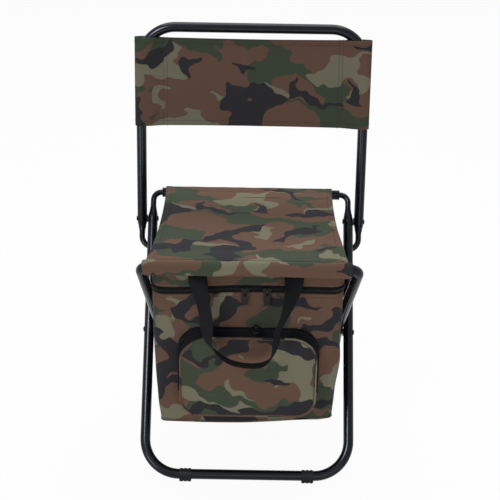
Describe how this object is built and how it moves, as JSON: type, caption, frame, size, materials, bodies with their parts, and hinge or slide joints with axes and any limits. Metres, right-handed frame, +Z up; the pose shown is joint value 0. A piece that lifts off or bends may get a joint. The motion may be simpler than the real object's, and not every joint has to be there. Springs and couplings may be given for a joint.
{
  "type": "folding cooler stool",
  "caption": "Folding stool with crossed tube legs, a fold-down backrest and a zipped cooler bag with a front pocket hung under the cloth seat.",
  "frame": {"origin": "on the floor under the middle of the outline", "axes": "+Z up, -Y to the front, where the pocket is, +X to the right as seen from the front"},
  "size_m": [0.3414, 0.3312, 0.5933],
  "materials": {
    "enamel": "glossy black enamel on steel tube",
    "rivet": "dark domed rivet",
    "black_rubber": "matt black",
    "camouflage_cloth": "woven polyester with a woodland camouflage print",
    "webbing": "ribbed black webbing",
    "zip_tape": "black zip tape",
    "zip_hardware": "black",
    "piping": "corded edge",
    "foil_foam": "foil-faced foam",
    "board": "stiff board"
  },
  "bodies": {
    "outer_frame": {"outer_leg_frame": "enamel", "rear_seat_bar": "enamel", "rear_bar_bush_left": "black_rubber", "rear_bar_bush_right": "black_rubber", "cross_pivot_rivet_left": "rivet", "cross_pivot_rivet_right": "rivet", "cross_pivot_washer_left": "black_rubber", "cross_pivot_washer_right": "black_rubber", "backrest_pivot_rivet_left": "rivet", "backrest_pivot_rivet_right": "rivet", "backrest_pivot_washer_left": "black_rubber", "backrest_pivot_washer_right": "black_rubber", "front_foot_left": "black_rubber", "front_foot_right": "black_rubber", "rear_sleeve": "camouflage_cloth", "seat_panel": "camouflage_cloth", "lid_insulation": "foil_foam"},
    "inner_frame": {"inner_leg_frame": "enamel", "front_seat_bar": "enamel", "front_sleeve": "camouflage_cloth", "rear_foot_left": "black_rubber", "rear_foot_right": "black_rubber"},
    "backrest": {"backrest_frame": "enamel", "backrest_cover": "camouflage_cloth", "hook_cap_left": "black_rubber", "hook_cap_right": "black_rubber"},
    "bag": {"bag_shell": "camouflage_cloth", "base_board": "board", "insulation_liner": "foil_foam", "base_piping": "piping", "lid_band": "camouflage_cloth", "main_zip_tape": "zip_tape", "lid_hinge_strip": "camouflage_cloth", "main_zip_chain": "zip_hardware", "pocket_shell": "camouflage_cloth", "pocket_piping": "piping", "pocket_zip_tape": "zip_tape", "pocket_zip_chain": "zip_hardware", "handle_end_left": "webbing", "handle_end_right": "webbing"},
    "handle": {"carry_handle": "webbing"},
    "main_slider_left": {"main_zip_left_slider": "zip_hardware"},
    "main_tab_left": {"main_zip_left_pull": "zip_hardware"},
    "main_slider_right": {"main_zip_right_slider": "zip_hardware"},
    "main_tab_right": {"main_zip_right_pull": "zip_hardware"},
    "pocket_slider": {"pocket_zip_slider": "zip_hardware"},
    "pocket_tab": {"pocket_zip_pull": "zip_hardware"}
  },
  "joints": [
    {"name": "cross_fold", "type": "hinge", "parent": "outer_frame", "child": "inner_frame", "pos_m": [0, 0.01623, 0.17225], "axis": [-1, 0, 0], "range_deg": [0, 70], "deforming": ["seat_panel", "lid_insulation", "bag_shell", "base_board", "insulation_liner", "base_piping", "lid_band", "main_zip_tape", "lid_hinge_strip", "main_zip_chain"]},
    {"name": "bag_swing", "type": "hinge", "parent": "inner_frame", "child": "bag", "pos_m": [0, -0.09877, 0.3449], "axis": [1, 0, 0], "range_deg": [0, 38.5]},
    {"name": "backrest_fold", "type": "hinge", "parent": "outer_frame", "child": "backrest", "pos_m": [0, 0.12074, 0.30389], "axis": [1, 0, 0], "range_deg": [0, 72]},
    {"name": "handle_swing", "type": "hinge", "parent": "bag", "child": "handle", "pos_m": [0, -0.10815, 0.31293], "axis": [-1, 0, 0], "range_deg": [0, 70]},
    {"name": "main_slide_left", "type": "slide", "parent": "bag", "child": "main_slider_left", "axis": [-1, 0, 0], "range_m": [-0.009, 0.092]},
    {"name": "main_tab_left", "type": "hinge", "parent": "main_slider_left", "child": "main_tab_left", "pos_m": [-0.006, -0.10397, 0.2958], "axis": [-1, 0, 0], "range_deg": [0, 85]},
    {"name": "main_slide_right", "type": "slide", "parent": "bag", "child": "main_slider_right", "axis": [1, 0, 0], "range_m": [-0.009, 0.074]},
    {"name": "main_tab_right", "type": "hinge", "parent": "main_slider_right", "child": "main_tab_right", "pos_m": [0.024, -0.10397, 0.2958], "axis": [-1, 0, 0], "range_deg": [0, 85]},
    {"name": "pocket_slide", "type": "slide", "parent": "bag", "child": "pocket_slider", "axis": [1, 0, 0], "range_m": [-0.062, 0.042]},
    {"name": "pocket_tab", "type": "hinge", "parent": "pocket_slider", "child": "pocket_tab", "pos_m": [0.01, -0.10927, 0.2444], "axis": [-1, 0, 0], "range_deg": [0, 85]}
  ],
  "couplings": [
    {"joint": "bag_swing", "follows": "cross_fold", "ratio": 0.549}
  ]
}
